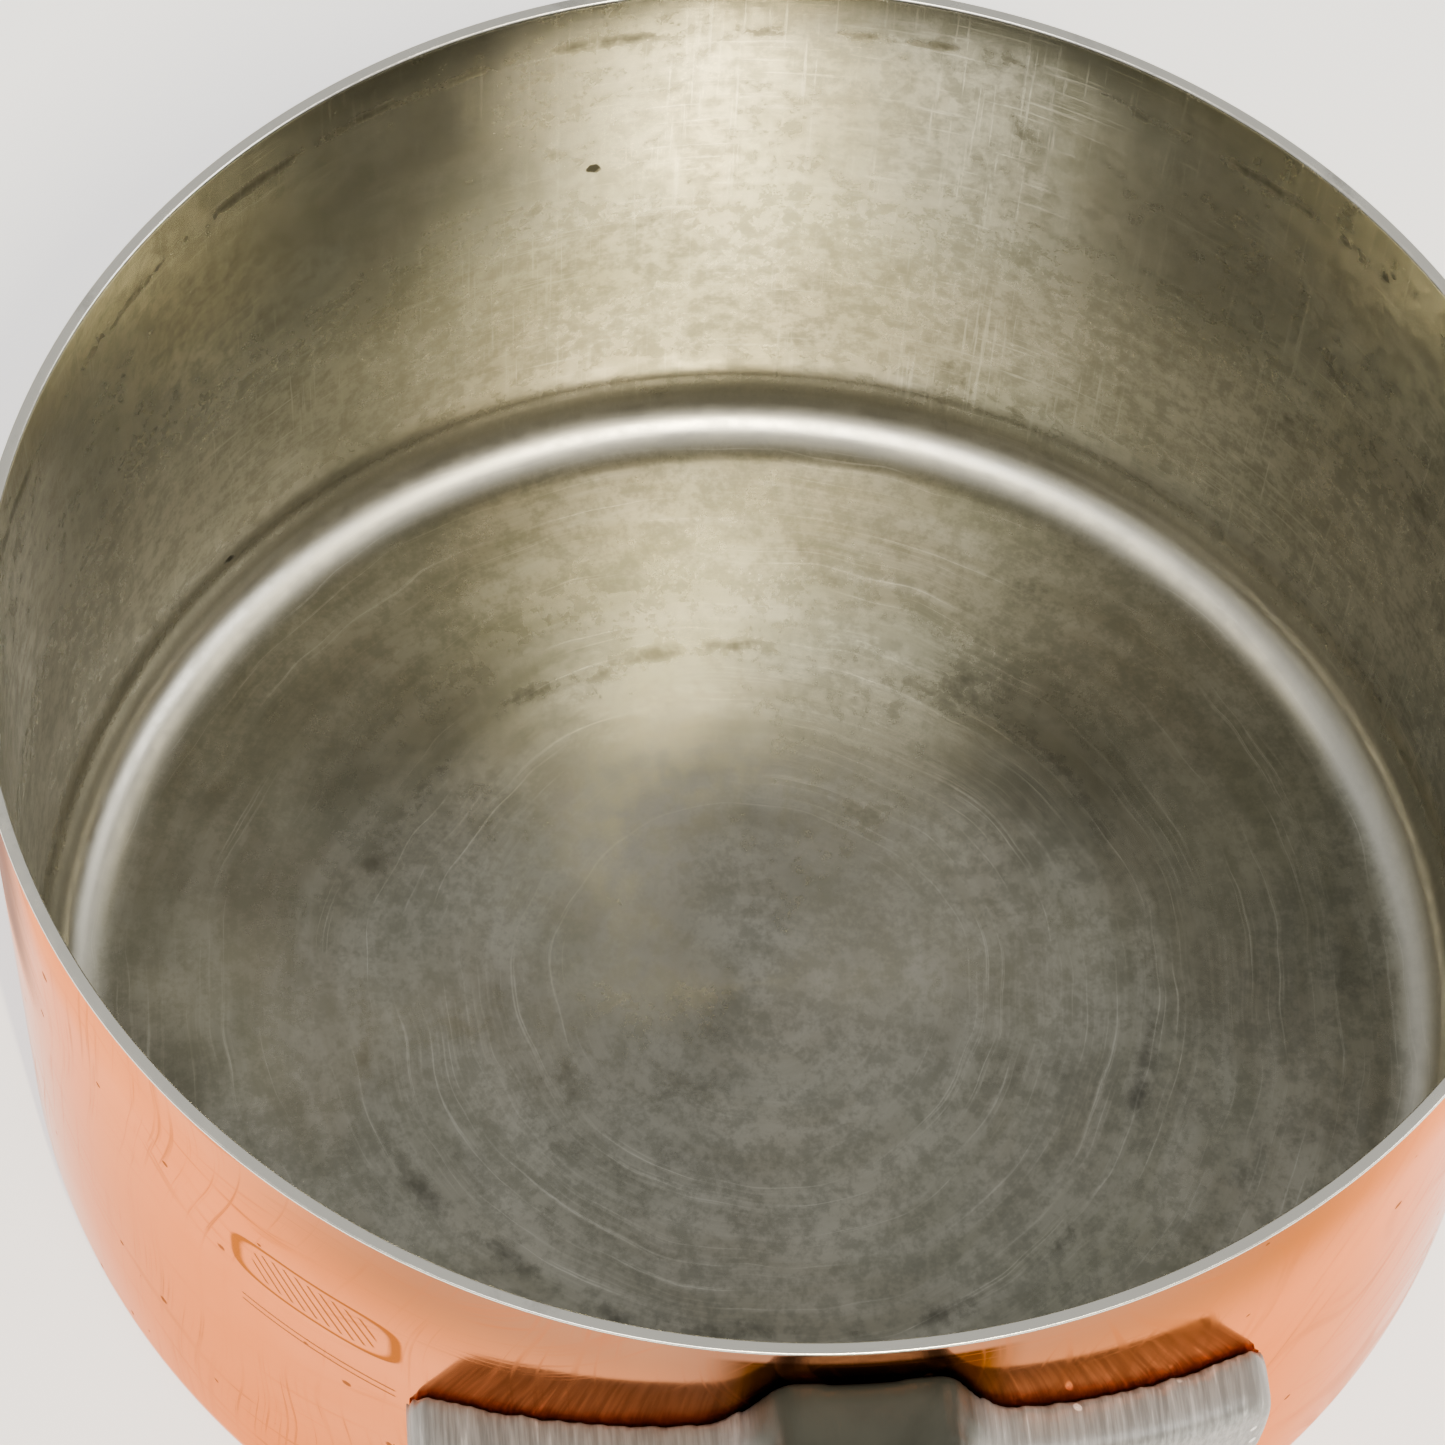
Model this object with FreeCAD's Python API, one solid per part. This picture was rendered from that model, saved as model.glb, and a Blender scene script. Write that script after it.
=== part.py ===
"""Copper saucepan: a drawn copper body with a wiped tin lining and a cast handle held by three rivets.

Millimetres, in the pan's own frame: the origin is the centre of the flat base, +Z is up and the handle
leaves along +X. Every piece is a solid of its own, written to parts/NODE.step.
"""

import FreeCAD
import Part
import math
import os

Vector = FreeCAD.Vector

# Pan
OUTER_RADIUS = 90.0
HEIGHT = 88.0
COPPER_THICKNESS = 1.25
TIN_THICKNESS = 0.25
CORNER_RADIUS = 10.0

# Handle flange, cast to lie on the wall
SEAT_GAP = 0.1
FLANGE_THICKNESS = 6.5
FLANGE_ROUNDING = 1.6

# Rivets
SHANK_RADIUS = 3.4
SHANK_CLEARANCE = 0.05
INNER_HEAD_RADIUS = 7.5
INNER_HEAD_HEIGHT = 2.0
OUTER_HEAD_RADIUS = 6.6
OUTER_HEAD_HEIGHT = 3.2
WING_RIVET_ANGLE = 20.0
WING_RIVET_DROP = 38.5
TONGUE_RIVET_DROP = 51.5

# Hanging eye at the end of the grip
EYE_RADIUS = 7.0
EYE_EDGE_ROUNDING = 1.5
EYE_RING_RADIUS = 14.5
EYE_RING_ROUNDING = 3.0
EYE_CENTRE_STEP = 11.0

# Right half of the flange's outline, top to bottom: (half width, drop below the rim, rounding)
FLANGE_OUTLINE = [
    (8.8, 5.6, 3.6),
    (14.5, 16.6, 10.0),
    (46.5, 30.0, 6.0),
    (46.5, 47.0, 8.0),
    (14.2, 48.0, 5.0),
    (12.8, 60.5, 8.0),
]

# Sections of the grip: (x and drop of the top line, lean in degrees, depth, top width, bottom width,
# top rounding, bottom rounding)
GRIP_STATIONS = [
    (86.0, 5.6, 0.0, 40.0, 18.6, 25.0, 3.0, 6.0),
    (95.0, 5.4, 2.0, 37.5, 19.2, 24.0, 3.0, 6.0),
    (101.0, 4.6, 8.0, 27.0, 19.6, 21.0, 3.2, 6.0),
    (109.0, 2.4, 15.0, 18.0, 19.2, 18.0, 3.4, 5.0),
    (120.0, -1.6, 20.0, 13.0, 18.5, 16.0, 3.5, 4.0),
    (140.0, -9.5, 23.0, 10.5, 17.0, 14.5, 3.5, 3.5),
    (175.0, -24.8, 24.0, 9.5, 16.5, 14.0, 3.2, 3.2),
    (215.0, -42.0, 22.0, 8.8, 18.5, 16.0, 3.0, 3.0),
    (245.0, -53.0, 17.0, 8.0, 22.5, 20.0, 3.0, 3.0),
    (262.0, -57.6, 13.0, 7.5, 26.5, 24.5, 3.0, 3.0),
]

COPPER_INSIDE = OUTER_RADIUS - COPPER_THICKNESS
TIN_INSIDE = COPPER_INSIDE - TIN_THICKNESS
COPPER_TOP = HEIGHT - TIN_THICKNESS
FLAT_RADIUS = OUTER_RADIUS - CORNER_RADIUS
SEAT_RADIUS = OUTER_RADIUS + SEAT_GAP
FLANGE_FACE = SEAT_RADIUS + FLANGE_THICKNESS
AXIS_POINT = Vector(0, 0, 0)
OUTWARDS = Vector(1, 0, 0)
SIDEWAYS = Vector(0, 1, 0)
UP = Vector(0, 0, 1)


def wall_cylinder(radius):
    """Upright bar about the pan's axis, longer than the whole pan, with its seam away from the handle."""
    bar = Part.makeCylinder(radius, 4 * HEIGHT, Vector(0, 0, -HEIGHT))
    bar.rotate(AXIS_POINT, UP, 180)
    return bar


def line(start, end):
    return Part.LineSegment(start, end).toShape()


def cup_edges(radius, top):
    """Floor, bend and wall of a cup, from its axis out and up. All the bends share one centre."""
    bend = radius - FLAT_RADIUS
    floor = CORNER_RADIUS - bend
    diagonal = bend * math.cos(math.radians(45))
    low = Vector(FLAT_RADIUS, 0, floor)
    middle = Vector(FLAT_RADIUS + diagonal, 0, CORNER_RADIUS - diagonal)
    high = Vector(radius, 0, CORNER_RADIUS)
    return [
        line(Vector(0, 0, floor), low),
        Part.Arc(low, middle, high).toShape(),
        line(high, Vector(radius, 0, top)),
    ]


def turned_cup(outer, inner, rim):
    """Cup turned about the Z axis. rim runs from the top of the outer wall to the top of the inner one."""
    corners = [Vector(radius, 0, height) for radius, height in rim]
    outside = cup_edges(outer, corners[0].z)
    inside = cup_edges(inner, corners[-1].z)
    over_rim = [line(corners[i], corners[i + 1]) for i in range(len(corners) - 1)]
    axis_low = outside[0].Vertexes[0].Point
    axis_high = inside[0].Vertexes[0].Point
    edges = outside + over_rim + inside[::-1] + [line(axis_high, axis_low)]
    return Part.Face(Part.Wire(edges)).revolve(AXIS_POINT, UP, 360)


def rounded_wire(corners, place):
    """Closed wire through (u, v, rounding) corners. place turns (u, v) into a point."""
    arcs = []
    for index, (u, v, rounding) in enumerate(corners):
        before = corners[index - 1]
        after = corners[(index + 1) % len(corners)]
        corner = Vector(u, v, 0)
        to_before = (Vector(before[0], before[1], 0) - corner).normalize()
        to_after = (Vector(after[0], after[1], 0) - corner).normalize()
        half_angle = to_before.getAngle(to_after) / 2
        reach = rounding / math.tan(half_angle)
        inward = (to_before + to_after).normalize()
        middle = corner + inward * (rounding / math.sin(half_angle) - rounding)
        points = (corner + to_before * reach, middle, corner + to_after * reach)
        arcs.append([place(point.x, point.y) for point in points])
    edges = []
    for index, arc in enumerate(arcs):
        edges.append(Part.Arc(*arc).toShape())
        edges.append(line(arc[2], arcs[(index + 1) % len(arcs)][0]))
    return Part.Wire(edges)


def rivet_places():
    """Name, angle about the pan's axis and height of each rivet."""
    return [
        ("rivet_left", -WING_RIVET_ANGLE, HEIGHT - WING_RIVET_DROP),
        ("rivet_right", WING_RIVET_ANGLE, HEIGHT - WING_RIVET_DROP),
        ("rivet_lower", 0.0, HEIGHT - TONGUE_RIVET_DROP),
    ]


def to_wall(shape, angle, height):
    """Carries a shape that lies along the X axis to its place on the wall."""
    shape.translate(Vector(0, 0, height))
    shape.rotate(AXIS_POINT, UP, angle)
    return shape


def bored(shape):
    """Cuts the three rivet holes through a shape."""
    for _, angle, height in rivet_places():
        radius = SHANK_RADIUS + SHANK_CLEARANCE
        bar = Part.makeCylinder(radius, OUTER_RADIUS, Vector(FLAT_RADIUS, 0, 0), OUTWARDS)
        shape = shape.cut(to_wall(bar, angle, height))
    return shape


def sag(radius, wall_radius):
    """How far the wall falls back from a flat disc of that radius laid against it."""
    return wall_radius - math.sqrt(wall_radius ** 2 - radius ** 2)


def turned_head(radius, height, base_x, direction):
    """Low dome turned about the X axis. Its rim is at base_x, with a short barrel behind it."""
    dome_radius = (radius ** 2 + height ** 2) / (2 * height)
    half_spread = math.asin(radius / dome_radius) / 2
    lift = dome_radius * (math.cos(half_spread) - 1) + height
    back = Vector(base_x - direction * COPPER_THICKNESS, 0, 0)
    rim = Vector(base_x, 0, radius)
    middle = Vector(base_x + direction * lift, 0, dome_radius * math.sin(half_spread))
    crown = Vector(base_x + direction * height, 0, 0)
    corner = Vector(back.x, 0, radius)
    edges = [line(back, corner), line(corner, rim), Part.Arc(rim, middle, crown).toShape(), line(crown, back)]
    return Part.Face(Part.Wire(edges)).revolve(AXIS_POINT, OUTWARDS, 360)


def make_rivet(angle, height):
    """Copper rivet: low head against the lining, shank, and a higher head against the flange."""
    inner_rim = TIN_INSIDE - sag(INNER_HEAD_RADIUS, TIN_INSIDE)
    inner = turned_head(INNER_HEAD_RADIUS, INNER_HEAD_HEIGHT, inner_rim, -1)
    inner = inner.common(wall_cylinder(TIN_INSIDE))
    outer = turned_head(OUTER_HEAD_RADIUS, OUTER_HEAD_HEIGHT, FLANGE_FACE, 1)
    outer = outer.cut(wall_cylinder(FLANGE_FACE))
    start = Vector(inner_rim, 0, 0)
    shank = Part.makeCylinder(SHANK_RADIUS, FLANGE_FACE - inner_rim + 1, start, OUTWARDS)
    return to_wall(inner.fuse([shank, outer]).removeSplitter(), angle, height)


def make_body():
    rim = [(OUTER_RADIUS, COPPER_TOP), (COPPER_INSIDE, COPPER_TOP)]
    return bored(turned_cup(OUTER_RADIUS, COPPER_INSIDE, rim))


def make_lining():
    """Tin over the inside, turned out over the top edge of the copper."""
    rim = [
        (COPPER_INSIDE, COPPER_TOP),
        (OUTER_RADIUS, COPPER_TOP),
        (OUTER_RADIUS, HEIGHT),
        (TIN_INSIDE, HEIGHT),
    ]
    return bored(turned_cup(COPPER_INSIDE, TIN_INSIDE, rim))


def flange_plate():
    """Two wings and a lower tongue, cut from a ring that lies on the wall, with rounded front edges."""
    right = [(half, -drop, rounding) for half, drop, rounding in FLANGE_OUTLINE]
    left = [(-u, v, rounding) for u, v, rounding in reversed(right)]
    wire = rounded_wire(right + left, lambda y, z: Vector(0, y, HEIGHT + z))
    ring = wall_cylinder(FLANGE_FACE).cut(wall_cylinder(SEAT_RADIUS))
    plate = Part.Face(wire).extrude(OUTWARDS * 2 * OUTER_RADIUS).common(ring)
    front = [edge for edge in plate.Edges if on_front(edge)]
    return plate.makeFillet(FLANGE_ROUNDING, front)


def on_front(edge):
    """Whether an edge runs along the flange's front face."""
    middle = edge.valueAt((edge.FirstParameter + edge.LastParameter) / 2)
    return abs(math.hypot(middle.x, middle.y) - FLANGE_FACE) < 1e-3


def grip_section(x, drop, lean, depth, top_width, bottom_width, top_rounding, bottom_rounding):
    """Rounded section across the grip, leaning so that it stays square to the grip."""
    tilt = math.radians(lean)
    origin = Vector(x, 0, HEIGHT - drop)
    down = Vector(math.sin(tilt), 0, -math.cos(tilt))
    corners = [
        (-top_width / 2, 0, top_rounding),
        (top_width / 2, 0, top_rounding),
        (bottom_width / 2, depth, bottom_rounding),
        (-bottom_width / 2, depth, bottom_rounding),
    ]
    return rounded_wire(corners, lambda u, v: origin + SIDEWAYS * u + down * v)


def eye_frame():
    """Centre of the eye's top face, the way the grip runs there and the way its top faces."""
    x, drop, lean, depth = GRIP_STATIONS[-1][:4]
    tilt = math.radians(lean)
    along = Vector(math.cos(tilt), 0, math.sin(tilt))
    top = Vector(-math.sin(tilt), 0, math.cos(tilt))
    return Vector(x, 0, HEIGHT - drop) + along * EYE_CENTRE_STEP, along, top, depth


def eye_ring():
    """Rounded disc around the eye, not yet bored."""
    centre, _, top, depth = eye_frame()
    disc = Part.makeCylinder(EYE_RING_RADIUS, depth, centre - top * depth, top)
    return disc.makeFillet(EYE_RING_ROUNDING, [edge for edge in disc.Edges if edge.Closed])


def eye_cutter():
    """Bar through the eye, flared at both ends so that the hole's edges come out rounded."""
    centre, _, top, depth = eye_frame()
    cutter = Part.makeCylinder(EYE_RADIUS, 3 * depth, centre - top * 2 * depth, top)
    flare = EYE_EDGE_ROUNDING
    for base, way in ((centre, top * -1), (centre - top * depth, top)):
        collar = Part.makeCylinder(EYE_RADIUS + flare, flare, base, way)
        bead = Part.makeTorus(EYE_RADIUS + flare, flare, base + way * flare, top)
        cutter = cutter.fuse(collar.cut(bead))
    return cutter


def make_handle():
    """Cast handle: flange, grip and eye in one piece, bored for the rivets."""
    grip = Part.makeLoft([grip_section(*station) for station in GRIP_STATIONS], True)
    _, along, _, _ = eye_frame()
    neck = Part.Face(grip_section(*GRIP_STATIONS[-1])).extrude(along * EYE_CENTRE_STEP)
    casting = flange_plate().fuse([grip, neck, eye_ring()])
    casting = casting.cut(wall_cylinder(SEAT_RADIUS)).cut(eye_cutter())
    return bored(casting).removeSplitter()


def save(name, shape):
    """Writes one node, and says whether it is one sound solid."""
    solids = shape.Solids
    solids[0].exportStep(os.path.join("parts", name + ".step"))
    print(name, "solids", len(solids), "valid", solids[0].isValid(), "volume", round(shape.Volume, 1))


def main():
    os.makedirs("parts", exist_ok=True)
    save("pan_body", make_body())
    save("tin_lining", make_lining())
    save("handle", make_handle())
    for name, angle, height in rivet_places():
        save(name, make_rivet(angle, height))
    centre, _, top, depth = eye_frame()
    print("eye centre", centre - top * (depth / 2), "axis", top, "depth", depth)


main()
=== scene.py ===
"""Copper saucepan: the finished look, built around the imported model."""

import math

import bmesh
import bpy
from mathutils import Matrix, Vector


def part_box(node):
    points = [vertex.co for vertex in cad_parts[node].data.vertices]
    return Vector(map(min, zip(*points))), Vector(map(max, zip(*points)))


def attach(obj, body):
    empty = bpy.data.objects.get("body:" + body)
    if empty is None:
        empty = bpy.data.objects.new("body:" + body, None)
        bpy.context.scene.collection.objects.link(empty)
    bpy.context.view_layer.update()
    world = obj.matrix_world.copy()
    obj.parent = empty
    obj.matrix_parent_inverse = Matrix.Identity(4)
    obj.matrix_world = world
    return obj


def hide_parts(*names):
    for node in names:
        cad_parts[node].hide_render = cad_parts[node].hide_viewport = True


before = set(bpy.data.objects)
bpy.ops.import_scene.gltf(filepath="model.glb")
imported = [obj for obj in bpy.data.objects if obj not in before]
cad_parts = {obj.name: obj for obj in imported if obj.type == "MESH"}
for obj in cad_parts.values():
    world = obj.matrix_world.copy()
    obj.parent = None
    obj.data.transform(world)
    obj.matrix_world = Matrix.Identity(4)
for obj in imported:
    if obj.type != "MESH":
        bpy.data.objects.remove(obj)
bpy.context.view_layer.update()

MM = 0.001
BODY = "root"

# ---------------------------------------------------------------- sizes

# The pan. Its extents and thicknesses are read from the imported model.
BODY_LOW, BODY_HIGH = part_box("pan_body")
LINING_LOW, LINING_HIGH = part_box("tin_lining")
OUTER_RADIUS = min(BODY_HIGH[1], -BODY_LOW[0])
COPPER_TOP = BODY_HIGH[2]
PAN_TOP = LINING_HIGH[2]
COPPER_THICKNESS = LINING_LOW[2]
TIN_THICKNESS = PAN_TOP - COPPER_TOP
COPPER_INSIDE = OUTER_RADIUS - COPPER_THICKNESS
TIN_INSIDE = COPPER_INSIDE - TIN_THICKNESS
CORNER_RADIUS = 10 * MM
FLAT_RADIUS = OUTER_RADIUS - CORNER_RADIUS
BEND_CENTRE = (FLAT_RADIUS, CORNER_RADIUS)
RIM_ROUNDING = 0.45 * MM
COPPER_EDGE = 0.2 * MM
PAN_MIDDLE = (0, 0, 50 * MM)

# How finely the turned pieces are divided.
ROUND_STEPS = 288
BEND_STEPS = 14
WALL_RINGS = 6

# Rivets. A head is its radius and its height.
RIVETS = ("rivet_left", "rivet_right", "rivet_lower")
WING_ANGLE = math.radians(20)
INNER_HEAD = (7.5 * MM, 2.0 * MM)
OUTER_HEAD = (6.6 * MM, 3.2 * MM)
HEAD_SKIRT = 0.4 * MM
SHANK_RADIUS = 3.4 * MM
HEAD_STEPS = 8
RIVET_STEPS = 48
DENT_DEPTH = 0.11 * MM
DENT_WAVES = (900, 820)

# The casting's skin, and the zone where the grip grows out of the flange.
SKIN_CELL = 0.75 * MM
EDGE_ROUNDS = 5
ROOT_ROUNDS = 14
ROOT_FROM, ROOT_TO = 97.5 * MM, 112 * MM
ROOT_HALF_WIDTH = 17 * MM

# The struck mark, left of the handle: its frame, its hatch and the double line below it.
MARK_SIDE = math.radians(-38.4)
MARK_DROP = 22.5 * MM
MARK_HALF_SIZE = (10.5 * MM, 4.6 * MM)
MARK_SQUARENESS = 4.0
HATCH_PITCH = 0.8 * MM
HATCH_SLANT = 0.6
RULE_DROP = 11.5 * MM
RULE_HALF_GAP = 0.7 * MM
RULE_HALF_LENGTH = 10 * MM

# Wear inside: a stain ring on the floor and a tide line below the rim.
STAIN_RADIUS = 50 * MM
TIDE_DEPTH = 7.5 * MM


# ---------------------------------------------------------------- camera

def aimed(place, aim):
    """Stands a camera or a lamp at its place and turns it to its aim."""
    turn = (Vector(aim) - Vector(place)).to_track_quat("-Z", "Y").to_matrix().to_4x4()
    return Matrix.Translation(place) @ turn


def add_camera():
    """Looks steeply down into the mouth from the handle's side."""
    place = (0.28306, -0.04889, PAN_TOP + 0.43291)
    aim = (0.01486, -0.00892, PAN_TOP)
    roll = math.radians(4.609)
    data = bpy.data.cameras.new("camera")
    data.sensor_width = 36
    data.lens = 117.375
    camera = bpy.data.objects.new("camera", data)
    bpy.context.collection.objects.link(camera)
    camera.matrix_world = aimed(place, aim) @ Matrix.Rotation(roll, 4, "Z")
    bpy.context.scene.camera = camera


# ---------------------------------------------------------------- node helpers

class Nodes:
    """Short calls for one node tree."""

    def __init__(self, tree):
        self.tree = tree

    def add(self, kind, **settings):
        node = self.tree.nodes.new(kind)
        for name, value in settings.items():
            setattr(node, name, value)
        return node

    def feed(self, socket, value):
        """Links an output to a socket, or sets the socket's own value."""
        if isinstance(value, bpy.types.NodeSocket):
            self.tree.links.new(value, socket)
        else:
            socket.default_value = value

    def math(self, operation, first, second=None):
        node = self.add("ShaderNodeMath", operation=operation)
        self.feed(node.inputs[0], first)
        if second is not None:
            self.feed(node.inputs[1], second)
        return node.outputs[0]

    def plus(self, first, second):
        return self.math("ADD", first, second)

    def minus(self, first, second):
        return self.math("SUBTRACT", first, second)

    def times(self, first, second):
        return self.math("MULTIPLY", first, second)

    def most(self, first, second):
        return self.math("MAXIMUM", first, second)

    def size(self, value):
        """The value without its sign."""
        return self.math("ABSOLUTE", value)

    def raised(self, level, terms):
        """A level with masks added to it, each in its amount."""
        for mask, amount in terms:
            level = self.plus(level, self.times(mask, amount))
        return level

    def parts(self, place):
        """The three coordinates of a place."""
        node = self.add("ShaderNodeSeparateXYZ")
        self.feed(node.inputs[0], place)
        return node.outputs

    def joined(self, x, y, z):
        """A place made of its three coordinates."""
        node = self.add("ShaderNodeCombineXYZ")
        for socket, value in zip(node.inputs, (x, y, z)):
            self.feed(socket, value)
        return node.outputs[0]

    def vector(self, operation, first, second):
        node = self.add("ShaderNodeVectorMath", operation=operation)
        self.feed(node.inputs[0], first)
        self.feed(node.inputs[1], second)
        return node.outputs[0]

    def ramp(self, value, low, high, to_low=0.0, to_high=1.0):
        """Smooth step from one level to another."""
        node = self.add("ShaderNodeMapRange", interpolation_type="SMOOTHSTEP")
        self.feed(node.inputs["Value"], value)
        self.feed(node.inputs["From Min"], low)
        self.feed(node.inputs["From Max"], high)
        self.feed(node.inputs["To Min"], to_low)
        self.feed(node.inputs["To Max"], to_high)
        return node.outputs["Result"]

    def noise(self, vector, scale, detail=3.0, roughness=0.55, distortion=0.0):
        node = self.add("ShaderNodeTexNoise")
        self.feed(node.inputs["Vector"], vector)
        self.feed(node.inputs["Scale"], scale)
        self.feed(node.inputs["Detail"], detail)
        self.feed(node.inputs["Roughness"], roughness)
        self.feed(node.inputs["Distortion"], distortion)
        return node.outputs["Fac"]

    def mix(self, factor, first, second):
        """Blend of two colours."""
        node = self.add("ShaderNodeMix", data_type="RGBA")
        self.feed(node.inputs["Factor"], factor)
        self.feed(node.inputs[6], first)
        self.feed(node.inputs[7], second)
        return node.outputs[2]

    def layers(self, colour, rows):
        """A colour with others laid over it in turn, each where its mask is and in its amount."""
        for mask, amount, over in rows:
            colour = self.mix(self.times(mask, amount), colour, over)
        return colour

    def bump(self, height, distance, normal=None):
        """Relief of a given height in metres, over another relief if there is one."""
        node = self.add("ShaderNodeBump")
        self.feed(node.inputs["Height"], height)
        self.feed(node.inputs["Distance"], distance)
        if normal is not None:
            self.feed(node.inputs["Normal"], normal)
        return node.outputs["Normal"]

    def group(self, tree, **inputs):
        """A shared effect with its values. Returns its outputs."""
        node = self.add("ShaderNodeGroup", node_tree=tree)
        for name, value in inputs.items():
            self.feed(node.inputs[name.replace("_", " ")], value)
        return node.outputs


def new_group(name, inputs, outputs):
    """Empty node group: inputs are (name, type, default) and outputs are (name, type)."""
    tree = bpy.data.node_groups.new(name, "ShaderNodeTree")
    for label, kind, default in inputs:
        socket = tree.interface.new_socket(label, in_out="INPUT", socket_type="NodeSocket" + kind)
        if default is not None:
            socket.default_value = default
    for label, kind in outputs:
        tree.interface.new_socket(label, in_out="OUTPUT", socket_type="NodeSocket" + kind)
    nodes = Nodes(tree)
    return tree, nodes, nodes.add("NodeGroupInput").outputs, nodes.add("NodeGroupOutput").inputs


def new_material(name, **settings):
    """Material with its uniform values on the shader's own sockets."""
    material = bpy.data.materials.new(name)
    material.use_nodes = True
    shader = material.node_tree.nodes["Principled BSDF"]
    for label, value in settings.items():
        shader.inputs[label.replace("_", " ")].default_value = value
    nodes = Nodes(material.node_tree)
    place = nodes.add("ShaderNodeTexCoord").outputs["Object"]
    return material, nodes, shader, place


# ---------------------------------------------------------------- shared effects

def make_hairlines():
    """Fine scratches in one direction: noise on a stretched place comes out as lines."""
    tree, n, given, out = new_group(
        "hairlines",
        [("Place", "Vector", None), ("Stretch", "Vector", (1.0, 1.0, 1.0)),
         ("Cover", "Float", 0.5)],
        [("Lines", "Float"), ("Height", "Float")],
    )
    stretched = n.vector("MULTIPLY", given["Place"], given["Stretch"])
    fine = n.noise(stretched, 1.0, 3.0, 0.65)
    broken = n.noise(given["Place"], 38.0, 3.0, 0.6)
    level = n.minus(0.72, n.times(given["Cover"], 0.24))
    lines = n.ramp(fine, level, n.plus(level, 0.12))
    n.feed(out["Lines"], n.times(lines, n.ramp(broken, 0.38, 0.66, 0.12, 1.0)))
    n.feed(out["Height"], fine)
    return tree


def make_clouds():
    """Soft patches, more or less sharply parted."""
    tree, n, given, out = new_group(
        "clouds",
        [("Place", "Vector", None), ("Scale", "Float", 20.0), ("Contrast", "Float", 0.2)],
        [("Amount", "Float")],
    )
    broad = n.noise(given["Place"], given["Scale"], 5.0, 0.6, 0.4)
    low = n.minus(0.5, given["Contrast"])
    high = n.plus(0.5, given["Contrast"])
    n.feed(out["Amount"], n.ramp(broad, low, high))
    return tree


def make_specks():
    """Small scattered pits, each of its own size, and most cells empty."""
    tree, n, given, out = new_group(
        "specks",
        [("Place", "Vector", None), ("Scale", "Float", 100.0),
         ("Share", "Float", 0.1), ("Size", "Float", 0.2)],
        [("Spots", "Float")],
    )
    cells = n.add("ShaderNodeTexVoronoi")
    n.feed(cells.inputs["Vector"], given["Place"])
    n.feed(cells.inputs["Scale"], given["Scale"])
    split = n.add("ShaderNodeSeparateColor")
    n.feed(split.inputs[0], cells.outputs["Color"])
    chance, own_size = split.outputs[0], split.outputs[1]
    chosen = n.math("LESS_THAN", chance, given["Share"])
    reach = n.times(given["Size"], n.plus(0.35, own_size))
    ragged = n.times(n.minus(n.noise(given["Place"], 900.0, 2.0), 0.5), 0.12)
    spot = n.ramp(n.plus(cells.outputs["Distance"], ragged), n.times(reach, 0.6), reach, 1.0, 0.0)
    n.feed(out["Spots"], n.times(spot, chosen))
    return tree


def make_stamp():
    """Generic struck mark: a rounded frame with slanting hatch over a plain double line."""
    tree, n, given, out = new_group(
        "struck_mark", [("Place", "Vector", None)], [("Struck", "Float")])
    x, y, z = n.parts(given["Place"])
    along = n.plus(n.times(x, -math.sin(MARK_SIDE)), n.times(y, math.cos(MARK_SIDE)))
    outward = n.plus(n.times(x, math.cos(MARK_SIDE)), n.times(y, math.sin(MARK_SIDE)))
    up = n.minus(z, PAN_TOP - MARK_DROP)

    half_width, half_height = MARK_HALF_SIZE
    wide = n.math("POWER", n.size(n.math("DIVIDE", along, half_width)), MARK_SQUARENESS)
    tall = n.math("POWER", n.size(n.math("DIVIDE", up, half_height)), MARK_SQUARENESS)
    within = n.plus(wide, tall)
    outline = n.ramp(n.size(n.minus(within, 1.0)), 0.14, 0.42, 1.0, 0.0)
    slant = n.plus(along, n.times(up, HATCH_SLANT))
    hatch = n.ramp(n.math("PINGPONG", slant, HATCH_PITCH), 0.14 * MM, 0.32 * MM, 1.0, 0.0)
    hatch = n.times(hatch, n.ramp(within, 0.30, 0.40, 1.0, 0.0))

    from_rule = n.size(n.minus(n.size(n.plus(up, RULE_DROP)), RULE_HALF_GAP))
    rule = n.times(n.ramp(from_rule, 0.12 * MM, 0.30 * MM, 1.0, 0.0),
                   n.ramp(n.size(along), RULE_HALF_LENGTH, RULE_HALF_LENGTH + 0.4 * MM, 1.0, 0.0))
    marks = n.most(n.most(outline, hatch), rule)
    n.feed(out["Struck"], n.times(marks, n.ramp(outward, 80 * MM, 82 * MM)))
    return tree


HAIRLINES = make_hairlines()
CLOUDS = make_clouds()
SPECKS = make_specks()
STAMP = make_stamp()


# ---------------------------------------------------------------- materials

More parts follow.
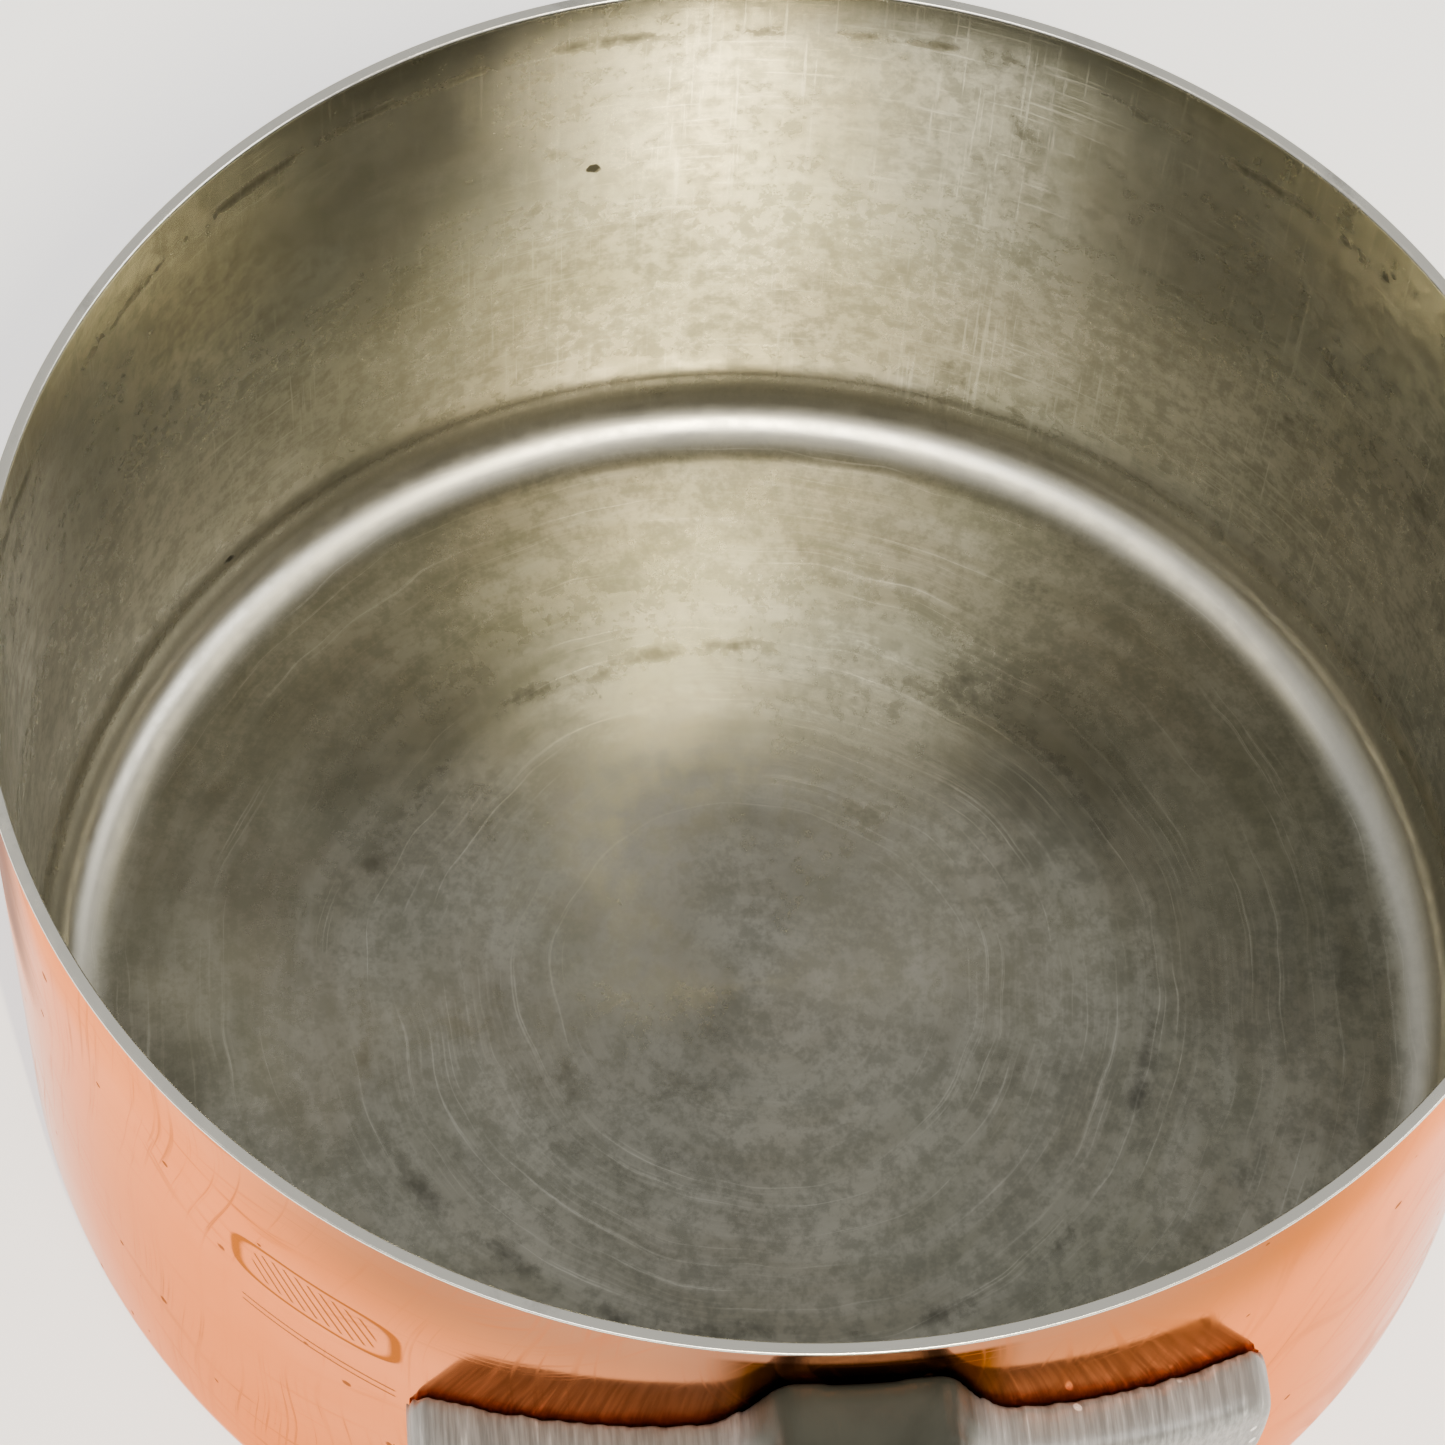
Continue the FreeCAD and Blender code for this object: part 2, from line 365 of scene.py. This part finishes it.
def make_tin():
    """Wiped tin: dull grey with olive and brown patches and the lines of the wiping cloth, with
    painted shade on the floor and a painted highlight round the bend.
    """
    material, n, shader, place = new_material("wiped_tin", Metallic=1.0, Anisotropic=0.70)
    x, y, height = n.parts(place)
    radius = n.math("SQRT", n.plus(n.times(x, x), n.times(y, y)))
    on_floor = n.ramp(height, 3 * MM, 9 * MM, 1.0, 0.0)
    on_wall = n.minus(1.0, on_floor)
    wavy = n.plus(radius, n.times(n.noise(place, 22.0), 9 * MM))

    def ring_place(across, along):
        """Place for noise in rings: quick across them and slow along them."""
        return n.joined(n.times(wavy, across), n.times(x, along), n.times(y, along))

    # Wiping lines. The rings fade out before the middle of the floor.
    rings = n.group(HAIRLINES, Place=ring_place(1700.0, 22.0), Stretch=(1.0, 1.0, 1.0), Cover=0.50)
    around = n.group(HAIRLINES, Place=place, Stretch=(60.0, 60.0, 1600.0), Cover=0.64)
    upright = n.group(HAIRLINES, Place=place, Stretch=(1600.0, 1600.0, 46.0), Cover=0.64)
    off_middle = n.ramp(radius, 6 * MM, 34 * MM)
    floor_lines = n.times(n.times(rings["Lines"], on_floor), off_middle)
    floor_height = n.times(n.times(rings["Height"], on_floor), off_middle)
    wall_lines = n.most(around["Lines"], upright["Lines"])
    wall_height = n.plus(around["Height"], n.times(upright["Height"], 0.8))
    lines = n.plus(floor_lines, n.times(wall_lines, on_wall))
    grain = n.plus(floor_height, n.times(wall_height, on_wall))
    scored = n.times(n.ramp(grain, 0.42, 0.72, 1.0, 0.0), n.ramp(n.noise(place, 26.0), 0.42, 0.60))

    # Cloth-wide smears: upright and around on the wall, curved on the floor.
    smear_up = n.noise(n.vector("MULTIPLY", place, (330.0, 330.0, 34.0)), 1.0, 4.0, 0.6)
    smear_round = n.noise(n.vector("MULTIPLY", place, (45.0, 45.0, 360.0)), 1.0, 4.0, 0.6)
    smear_floor = n.noise(ring_place(260.0, 45.0), 1.0, 4.0, 0.6)
    smear_wall = n.times(n.plus(smear_up, smear_round), 0.5)
    smear = n.plus(n.times(smear_wall, on_wall), n.times(smear_floor, on_floor))
    smear = n.ramp(smear, 0.36, 0.64)

    # Tarnish and wear.
    olive_place = n.vector("ADD", place, (0.4, 0.1, 0.7))
    brown_place = n.vector("ADD", place, (0.9, 0.3, 0.2))
    broad = n.group(CLOUDS, Place=place, Scale=15.0, Contrast=0.18)["Amount"]
    patches = n.group(CLOUDS, Place=place, Scale=48.0, Contrast=0.17)["Amount"]
    olive = n.group(CLOUDS, Place=olive_place, Scale=24.0, Contrast=0.15)["Amount"]
    brown = n.group(CLOUDS, Place=brown_place, Scale=36.0, Contrast=0.13)["Amount"]
    mottle = n.ramp(n.noise(place, 360.0, 6.0, 0.74), 0.40, 0.62)
    worn = n.ramp(n.noise(place, 105.0, 6.0, 0.70, 0.2), 0.52, 0.74)
    worn = n.times(worn, n.ramp(n.noise(place, 19.0), 0.44, 0.62))
    pits = n.group(SPECKS, Place=place, Scale=80.0, Share=0.07, Size=0.075)["Spots"]

    # A stain ring on the floor and a tide line below the rim, both wavering and broken.
    wobble = n.times(n.minus(n.noise(place, 34.0, 4.0), 0.5), 12 * MM)
    from_ring = n.size(n.minus(n.plus(radius, wobble), STAIN_RADIUS))
    stain = n.times(n.ramp(from_ring, 0.2 * MM, 2.0 * MM, 1.0, 0.0), on_floor)
    stain = n.times(stain, n.ramp(n.noise(place, 90.0, 5.0), 0.45, 0.65))
    below_rim = n.minus(PAN_TOP, n.plus(height, n.times(wobble, 0.35)))
    from_tide = n.size(n.minus(below_rim, TIDE_DEPTH))
    tide = n.ramp(from_tide, 0.1 * MM, 1.5 * MM, 1.0, 0.0)
    tide = n.times(tide, n.ramp(n.noise(place, 110.0, 5.0, 0.65), 0.44, 0.60))
    dark = n.most(n.times(stain, 0.60), n.times(tide, 0.62))
    dark = n.most(n.most(dark, n.times(worn, 0.50)), pits)

    # Painted light and shade: the same tin is made lighter on the wall and darker on the floor.
    # The floor is lighter again towards its middle.
    wall_tone = n.mix(broad, (0.36, 0.345, 0.28, 1), (0.52, 0.50, 0.425, 1))
    shaded_floor_tone = n.mix(broad, (0.185, 0.178, 0.135, 1), (0.29, 0.28, 0.222, 1))
    inner_floor = n.times(n.ramp(radius, 20 * MM, 62 * MM, 1.0, 0.0), on_floor)
    shaded_floor_tone = n.mix(n.times(inner_floor, 0.50), shaded_floor_tone, (0.46, 0.445, 0.375, 1))
    colour = n.layers(n.mix(on_floor, wall_tone, shaded_floor_tone), (
        (patches, 0.22, (0.52, 0.50, 0.43, 1)),
        (olive, 0.38, (0.27, 0.275, 0.20, 1)),
        (brown, 0.25, (0.30, 0.25, 0.18, 1)),
        (smear, 0.20, (0.62, 0.60, 0.53, 1)),
        (mottle, 0.42, (0.115, 0.118, 0.09, 1)),
        (lines, 0.46, (0.72, 0.70, 0.61, 1)),
        (scored, 0.28, (0.10, 0.098, 0.075, 1)),
    ))
    # Painted highlight: a light band all round the bend, where the lamp's glint sits. The top of
    # the rim is made lighter too.
    bend_highlight = n.times(n.ramp(height, 1.5 * MM, 2.4 * MM),
                   n.ramp(height, 4.5 * MM, 13 * MM, 1.0, 0.0))
    rim = n.ramp(height, PAN_TOP - 0.8 * MM, PAN_TOP - 0.3 * MM)
    colour = n.mix(n.most(n.times(bend_highlight, 0.52), rim), colour, (0.84, 0.815, 0.73, 1))
    n.feed(shader.inputs["Base Color"], n.mix(dark, colour, (0.045, 0.044, 0.036, 1)))

    # The foot of the wall and the edge of the floor are duller than the rest.
    low_wall = n.times(n.ramp(height, 12 * MM, 18 * MM),
                       n.ramp(height, 36 * MM, 56 * MM, 1.0, 0.0))
    floor_edge = n.times(n.ramp(radius, 52 * MM, 66 * MM),
                         n.ramp(height, 1.7 * MM, 2.6 * MM, 1.0, 0.0))
    dull = n.most(low_wall, floor_edge)
    roughness = n.raised(0.165, (
        (patches, 0.05), (mottle, 0.07), (dull, 0.09), (bend_highlight, 0.13), (dark, 0.25),
    ))
    n.feed(shader.inputs["Roughness"], roughness)
    fine = n.bump(grain, 0.004 * MM)
    soft = n.bump(n.noise(place, 45.0), 0.045 * MM, fine)
    n.feed(shader.inputs["Normal"], n.bump(dark, 0.018 * MM, soft))
    tangent = n.add("ShaderNodeTangent", direction_type="RADIAL", axis="Z")
    n.feed(shader.inputs["Tangent"], tangent.outputs[0])
    return material


def make_copper():
    """Polished copper in use: clear reflections, long fine scratches and specks, with painted
    shade and painted dark reflections near the handle and on the left side.
    """
    material, n, shader, place = new_material(
        "polished_copper", Metallic=1.0, Specular_Tint=(1.0, 0.54, 0.34, 1))
    x, y, z = n.parts(place)
    uneven = n.times(n.minus(n.noise(place, 30.0), 0.5), 14 * MM)

    # Where the copper is painted darker: painted shade and painted reflections near the handle and
    # on the left side, and a darker bottom.
    # Painted shade: browner, darker copper towards the handle, where the wall mirrors the wings,
    # strongest near the rim.
    painted_shade_by_handle = n.times(n.ramp(n.plus(x, uneven), 66 * MM, 86 * MM),
                        n.ramp(z, PAN_TOP - 34 * MM, PAN_TOP - 12 * MM, 0.35, 1.0))
    # Painted shadow: near black on the wall behind the shank, from just below the rim down.
    painted_shadow_over_shank = n.times(n.ramp(n.size(y), 11 * MM, 17 * MM, 1.0, 0.0),
                         n.ramp(x, 82 * MM, 86 * MM))
    painted_shadow_over_shank = n.times(painted_shadow_over_shank,
                         n.ramp(z, PAN_TOP - 2.6 * MM, PAN_TOP - 1.6 * MM, 1.0, 0.0))
    # Painted shade: darker copper on the front wall under the rim, towards the handle.
    painted_shade_under_rim = n.times(n.ramp(z, PAN_TOP - 24 * MM, PAN_TOP - 4 * MM),
                        n.ramp(x, 58 * MM, 80 * MM))
    # Darker towards the bottom.
    low_side = n.ramp(n.plus(z, uneven), 24 * MM, 84 * MM, 1.0, 0.0)
    # Painted dark reflection: a dark brown wedge high on the left side of the wall.
    painted_dark_reflection = n.times(n.ramp(n.plus(y, n.times(uneven, 0.25)), -83 * MM, -87 * MM),
                   n.ramp(n.plus(z, uneven), PAN_TOP - 36 * MM, PAN_TOP - 22 * MM))

    # Scratches, on a place that is curled and tilted so that they wander.
    curl = n.add("ShaderNodeTexNoise")
    n.feed(curl.inputs["Vector"], place)
    n.feed(curl.inputs["Scale"], 11.0)
    shift = n.vector("MULTIPLY", curl.outputs["Color"], (0.045, 0.045, 0.045))
    tilted = n.add("ShaderNodeMapping")
    n.feed(tilted.inputs["Rotation"], (0.5, 0.3, 0.9))
    n.feed(tilted.inputs["Vector"], n.vector("ADD", place, shift))
    wandering = tilted.outputs[0]
    slanted = n.group(HAIRLINES, Place=wandering, Stretch=(20.0, 1000.0, 20.0), Cover=0.78)
    crossed = n.group(HAIRLINES, Place=wandering, Stretch=(1000.0, 24.0, 24.0), Cover=0.72)
    around = n.group(HAIRLINES, Place=place, Stretch=(14.0, 14.0, 2100.0), Cover=0.48)
    lines = n.most(n.most(slanted["Lines"], crossed["Lines"]), around["Lines"])
    patches = n.group(CLOUDS, Place=place, Scale=16.0, Contrast=0.20)["Amount"]
    specks = n.group(SPECKS, Place=place, Scale=290.0, Share=0.14, Size=0.20)["Spots"]
    struck = n.group(STAMP, Place=place)["Struck"]

    # Painted shade, painted reflections and the darker bottom are laid on first, then the
    # scratches, specks and struck mark.
    colour = n.layers(n.mix(patches, (0.82, 0.29, 0.14, 1), (0.97, 0.405, 0.225, 1)), (
        (painted_dark_reflection, 0.95, (0.20, 0.040, 0.010, 1)),
        (low_side, 0.58, (0.44, 0.155, 0.075, 1)),
        (painted_shade_under_rim, 0.86, (0.21, 0.09, 0.048, 1)),
        (painted_shade_by_handle, 0.40, (0.36, 0.18, 0.115, 1)),
        (painted_shadow_over_shank, 0.94, (0.020, 0.010, 0.006, 1)),
        (lines, 0.70, (0.36, 0.125, 0.06, 1)),
        (specks, 0.85, (0.14, 0.055, 0.03, 1)),
        (struck, 0.92, (0.20, 0.08, 0.045, 1)),
    ))
    n.feed(shader.inputs["Base Color"], colour)
    # Where the dark reflection is painted, the copper is made less metallic and rougher.
    n.feed(shader.inputs["Metallic"], n.minus(1.0, n.times(painted_dark_reflection, 0.90)))
    roughness = n.raised(0.09, ((patches, 0.05), (lines, 0.12), (painted_dark_reflection, 0.45), (specks, 0.3)))
    n.feed(shader.inputs["Roughness"], roughness)
    wave = n.bump(n.noise(place, 13.0, 1.0), 0.35 * MM)
    fine = n.bump(lines, 0.003 * MM, wave)
    n.feed(shader.inputs["Normal"], n.bump(n.minus(1.0, struck), 0.03 * MM, fine))
    return material


def make_iron():
    """Cast iron: grey and brushed on the wings, with dark cast skin down the grip."""
    material, n, shader, place = new_material("ground_iron", Metallic=0.30)
    brushed = n.group(HAIRLINES, Place=place, Stretch=(110.0, 1500.0, 500.0), Cover=0.50)
    skin = n.group(CLOUDS, Place=place, Scale=48.0, Contrast=0.16)["Amount"]
    grain = n.noise(place, 950.0, 4.0, 0.65)
    nicks = n.group(SPECKS, Place=place, Scale=420.0, Share=0.16, Size=0.24)["Spots"]
    shank = n.ramp(n.size(n.parts(place)[1]), 10.5 * MM, 13.0 * MM, 1.0, 0.0)
    streaks = n.ramp(brushed["Height"], 0.34, 0.66)

    ground = n.mix(streaks, (0.135, 0.135, 0.132, 1), (0.26, 0.26, 0.255, 1))
    ground = n.mix(n.times(skin, 0.45), ground, (0.19, 0.175, 0.16, 1))
    dull = n.mix(skin, (0.028, 0.029, 0.022, 1), (0.050, 0.051, 0.039, 1))
    colour = n.mix(shank, ground, dull)
    shown = n.times(brushed["Lines"], n.minus(0.55, n.times(shank, 0.55)))
    colour = n.mix(shown, colour, (0.52, 0.51, 0.495, 1))
    bright = n.times(nicks, n.minus(0.75, n.times(shank, 0.60)))
    colour = n.mix(bright, colour, (0.85, 0.83, 0.80, 1))
    n.feed(shader.inputs["Base Color"], colour)
    roughness = n.minus(n.plus(0.30, n.times(grain, 0.16)), n.times(nicks, 0.12))
    n.feed(shader.inputs["Roughness"], roughness)
    fine = n.bump(brushed["Height"], 0.035 * MM)
    cast = n.bump(grain, 0.03 * MM, fine)
    n.feed(shader.inputs["Normal"], n.bump(n.noise(place, 120.0), 0.12 * MM, cast))
    return material


def make_floor_paper():
    """Pale paper that glows a little, so that it stays light under the pan."""
    material, n, shader, place = new_material(
        "pale_floor", Roughness=0.85, Emission_Color=(1.0, 0.99, 0.98, 1), Emission_Strength=1.0)
    paper = n.mix(n.noise(place, 6.0), (0.84, 0.84, 0.83, 1), (0.88, 0.88, 0.87, 1))
    n.feed(shader.inputs["Base Color"], paper)
    return material


# ---------------------------------------------------------------- mesh helpers

def arc(centre, radius, start, end, steps):
    """Points of an arc in the (radius, height) plane. Angles are in degrees."""
    points = []
    for step in range(steps + 1):
        angle = math.radians(start + (end - start) * step / steps)
        points.append((centre[0] + radius * math.cos(angle), centre[1] + radius * math.sin(angle)))
    return points


def spun(profile, axis="Z", steps=ROUND_STEPS):
    """Closed shape turned from a profile that starts and ends on the axis."""
    bm = bmesh.new()
    if axis == "Z":
        verts = [bm.verts.new((radius, 0, height)) for radius, height in profile]
    else:
        verts = [bm.verts.new((height, 0, radius)) for radius, height in profile]
    edges = [bm.edges.new(pair) for pair in zip(verts, verts[1:])]
    turn = (0, 0, 1) if axis == "Z" else (1, 0, 0)
    bmesh.ops.spin(bm, geom=verts + edges, cent=(0, 0, 0), axis=turn, angle=math.tau,
                   steps=steps, use_merge=True)
    bmesh.ops.remove_doubles(bm, verts=bm.verts, dist=1e-7)
    bmesh.ops.recalc_face_normals(bm, faces=bm.faces)
    return bm


def finish_piece(name, bm, materials, replaced):
    """Makes a smooth-shaded object that rides on the pan."""
    mesh = bpy.data.meshes.new(name)
    bm.to_mesh(mesh)
    bm.free()
    for material in materials:
        mesh.materials.append(material)
    for polygon in mesh.polygons:
        polygon.use_smooth = True
    piece = bpy.data.objects.new(name, mesh)
    bpy.context.collection.objects.link(piece)
    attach(piece, BODY)
    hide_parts(replaced)


def relax(bm, verts, rounds):
    """Rounds off edges and corners."""
    for _ in range(rounds):
        bmesh.ops.smooth_vert(bm, verts=verts, factor=0.5,
                              use_axis_x=True, use_axis_y=True, use_axis_z=True)


def wall_points(radius, low, high):
    """Straight wall in a few rings, so that its faces stay close to square."""
    return [(radius, low + (high - low) * ring / WALL_RINGS) for ring in range(1, WALL_RINGS)]


# ---------------------------------------------------------------- pieces

def make_cup(copper):
    """Copper shell with a crisp outer edge at the rim."""
    edge = COPPER_EDGE
    profile = [(0, 0), (FLAT_RADIUS * 0.5, 0)]
    profile += arc(BEND_CENTRE, CORNER_RADIUS, -90, 0, BEND_STEPS)
    profile += wall_points(OUTER_RADIUS, CORNER_RADIUS, COPPER_TOP - edge)
    profile += arc((OUTER_RADIUS - edge, COPPER_TOP - edge), edge, 0, 90, 3)
    profile += [(COPPER_INSIDE, COPPER_TOP)]
    profile += wall_points(COPPER_INSIDE, COPPER_TOP, CORNER_RADIUS)
    profile += arc(BEND_CENTRE, COPPER_INSIDE - FLAT_RADIUS, 0, -90, BEND_STEPS)
    profile += [(FLAT_RADIUS * 0.5, COPPER_THICKNESS), (0, COPPER_THICKNESS)]
    finish_piece("copper_cup", spun(profile), [copper], "pan_body")


def make_lining(tin):
    """Tin skin over the inside, turned out over the rim with a softened edge."""
    lip, inner_lip = TIN_THICKNESS, RIM_ROUNDING
    profile = [(0, COPPER_THICKNESS), (FLAT_RADIUS * 0.5, COPPER_THICKNESS)]
    profile += arc(BEND_CENTRE, COPPER_INSIDE - FLAT_RADIUS, -90, 0, BEND_STEPS)
    profile += wall_points(COPPER_INSIDE, CORNER_RADIUS, COPPER_TOP)
    profile += [(COPPER_INSIDE, COPPER_TOP), (OUTER_RADIUS - COPPER_EDGE, COPPER_TOP)]
    profile += arc((OUTER_RADIUS - lip, PAN_TOP - lip), lip, 0, 90, 4)
    profile += arc((TIN_INSIDE + inner_lip, PAN_TOP - inner_lip), inner_lip, 90, 180, 5)
    profile += wall_points(TIN_INSIDE, PAN_TOP - inner_lip, CORNER_RADIUS)
    profile += arc(BEND_CENTRE, TIN_INSIDE - FLAT_RADIUS, 0, -90, BEND_STEPS)
    floor = COPPER_THICKNESS + TIN_THICKNESS
    profile += [(FLAT_RADIUS * 0.66, floor), (FLAT_RADIUS * 0.33, floor), (0, floor)]
    finish_piece("wiped_lining", spun(profile), [tin], "tin_lining")


def head_profile(size, base, way):
    """Dome of a rivet's head from its rim to its crown, as (radius, place along the rivet)."""
    radius, height = size
    dome = (radius ** 2 + height ** 2) / (2 * height)
    spread = math.asin(radius / dome)
    points = []
    for step in range(HEAD_STEPS + 1):
        angle = spread * (1 - step / HEAD_STEPS)
        rise = dome * math.cos(angle) - dome + height
        points.append((dome * math.sin(angle), base + way * rise))
    return points


def make_rivet(name, copper, tin):
    """Hammered copper rivet. Its inner head was tinned with the pan and takes its finish."""
    low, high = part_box(name)
    aside = low[1] + high[1]
    angle = math.copysign(WING_ANGLE, aside) if abs(aside) > 10 * MM else 0.0
    height = (low[2] + high[2]) / 2
    sag = TIN_INSIDE - math.sqrt(TIN_INSIDE ** 2 - INNER_HEAD[0] ** 2)
    inner_base = TIN_INSIDE - sag
    outer_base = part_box("rivet_lower")[1][0] - OUTER_HEAD[1]
    inner = head_profile(INNER_HEAD, inner_base, -1)[::-1]
    outer = head_profile(OUTER_HEAD, outer_base, 1)
    skirt = outer_base - HEAD_SKIRT
    shank = [(INNER_HEAD[0], TIN_INSIDE), (SHANK_RADIUS, TIN_INSIDE),
             (SHANK_RADIUS, skirt), (OUTER_HEAD[0], skirt)]
    bm = spun(inner + shank + outer, axis="X", steps=RIVET_STEPS)

    # Hammer marks on the outer head, turned a little on each rivet.
    across, up = DENT_WAVES
    for vert in bm.verts:
        if vert.co.x > outer_base:
            dent = math.sin(vert.co.y * across + angle * 7) * math.cos(vert.co.z * up + angle * 3)
            vert.co.x -= DENT_DEPTH * (1 + dent)
    for face in bm.faces:
        face.material_index = 1 if face.calc_center_median().x < TIN_INSIDE else 0
    place = Matrix.Rotation(angle, 4, "Z") @ Matrix.Translation((0, 0, height))
    bmesh.ops.transform(bm, matrix=place, verts=bm.verts)
    finish_piece(name + "_driven", bm, [copper, tin], name)


def make_handle(iron):
    """Casting with softened edges and a blended root, worked from the designed solid."""
    bm = bmesh.new()
    bm.from_mesh(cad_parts["handle"].data)
    bmesh.ops.remove_doubles(bm, verts=bm.verts, dist=1e-6)
    draft = bpy.data.meshes.new("handle_draft")
    bm.to_mesh(draft)
    bm.free()
    holder = bpy.data.objects.new("handle_draft", draft)
    bpy.context.collection.objects.link(holder)
    remesh = holder.modifiers.new("even_skin", "REMESH")
    remesh.mode = "VOXEL"
    remesh.voxel_size = SKIN_CELL
    graph = bpy.context.evaluated_depsgraph_get()
    even = bpy.data.meshes.new_from_object(holder.evaluated_get(graph))
    bpy.data.objects.remove(holder)
    bm = bmesh.new()
    bm.from_mesh(even)
    bpy.data.meshes.remove(even)
    relax(bm, bm.verts, EDGE_ROUNDS)
    root = [vert for vert in bm.verts
            if ROOT_FROM < vert.co.x < ROOT_TO and abs(vert.co.y) < ROOT_HALF_WIDTH]
    relax(bm, root, ROOT_ROUNDS)
    finish_piece("cast_handle", bm, [iron], "handle")


# ---------------------------------------------------------------- stage

def add_floor():
    """Wide paper floor under the pan."""
    bm = bmesh.new()
    bmesh.ops.create_grid(bm, x_segments=1, y_segments=1, size=6.0)
    mesh = bpy.data.meshes.new("floor")
    bm.to_mesh(mesh)
    bm.free()
    mesh.materials.append(make_floor_paper())
    floor = bpy.data.objects.new("floor", mesh)
    bpy.context.collection.objects.link(floor)


def add_light(name, place, size, power, colour):
    """Rectangular lamp turned to the middle of the pan. Its size is its width and its height."""
    data = bpy.data.lights.new(name, "AREA")
    data.shape = "RECTANGLE"
    data.size, data.size_y = size
    data.energy = power
    data.color = colour
    light = bpy.data.objects.new(name, data)
    bpy.context.collection.objects.link(light)
    light.matrix_world = aimed(place, PAN_MIDDLE)


def add_studio():
    """Pale room, a narrow warm lamp and two soft windows."""
    world = bpy.data.worlds.new("studio")
    world.use_nodes = True
    backdrop = world.node_tree.nodes["Background"]
    backdrop.inputs["Color"].default_value = (0.97, 0.96, 0.93, 1)
    backdrop.inputs["Strength"].default_value = 0.64
    bpy.context.scene.world = world
    add_light("front_lamp", (1.013, 0.165, 1.275), (0.020, 0.34), 28, (1.0, 0.86, 0.56))
    add_light("broad_window", (0.98, -0.07, 1.33), (1.3, 0.55), 17, (0.98, 0.98, 1.0))
    add_light("side_window", (0.25, 1.60, 1.10), (0.9, 0.6), 13, (1.0, 0.98, 0.95))


# ---------------------------------------------------------------- make it all

add_camera()
TIN = make_tin()
COPPER = make_copper()
IRON = make_iron()
make_cup(COPPER)
make_lining(TIN)
make_handle(IRON)
for rivet in RIVETS:
    make_rivet(rivet, COPPER, TIN)
add_floor()
add_studio()
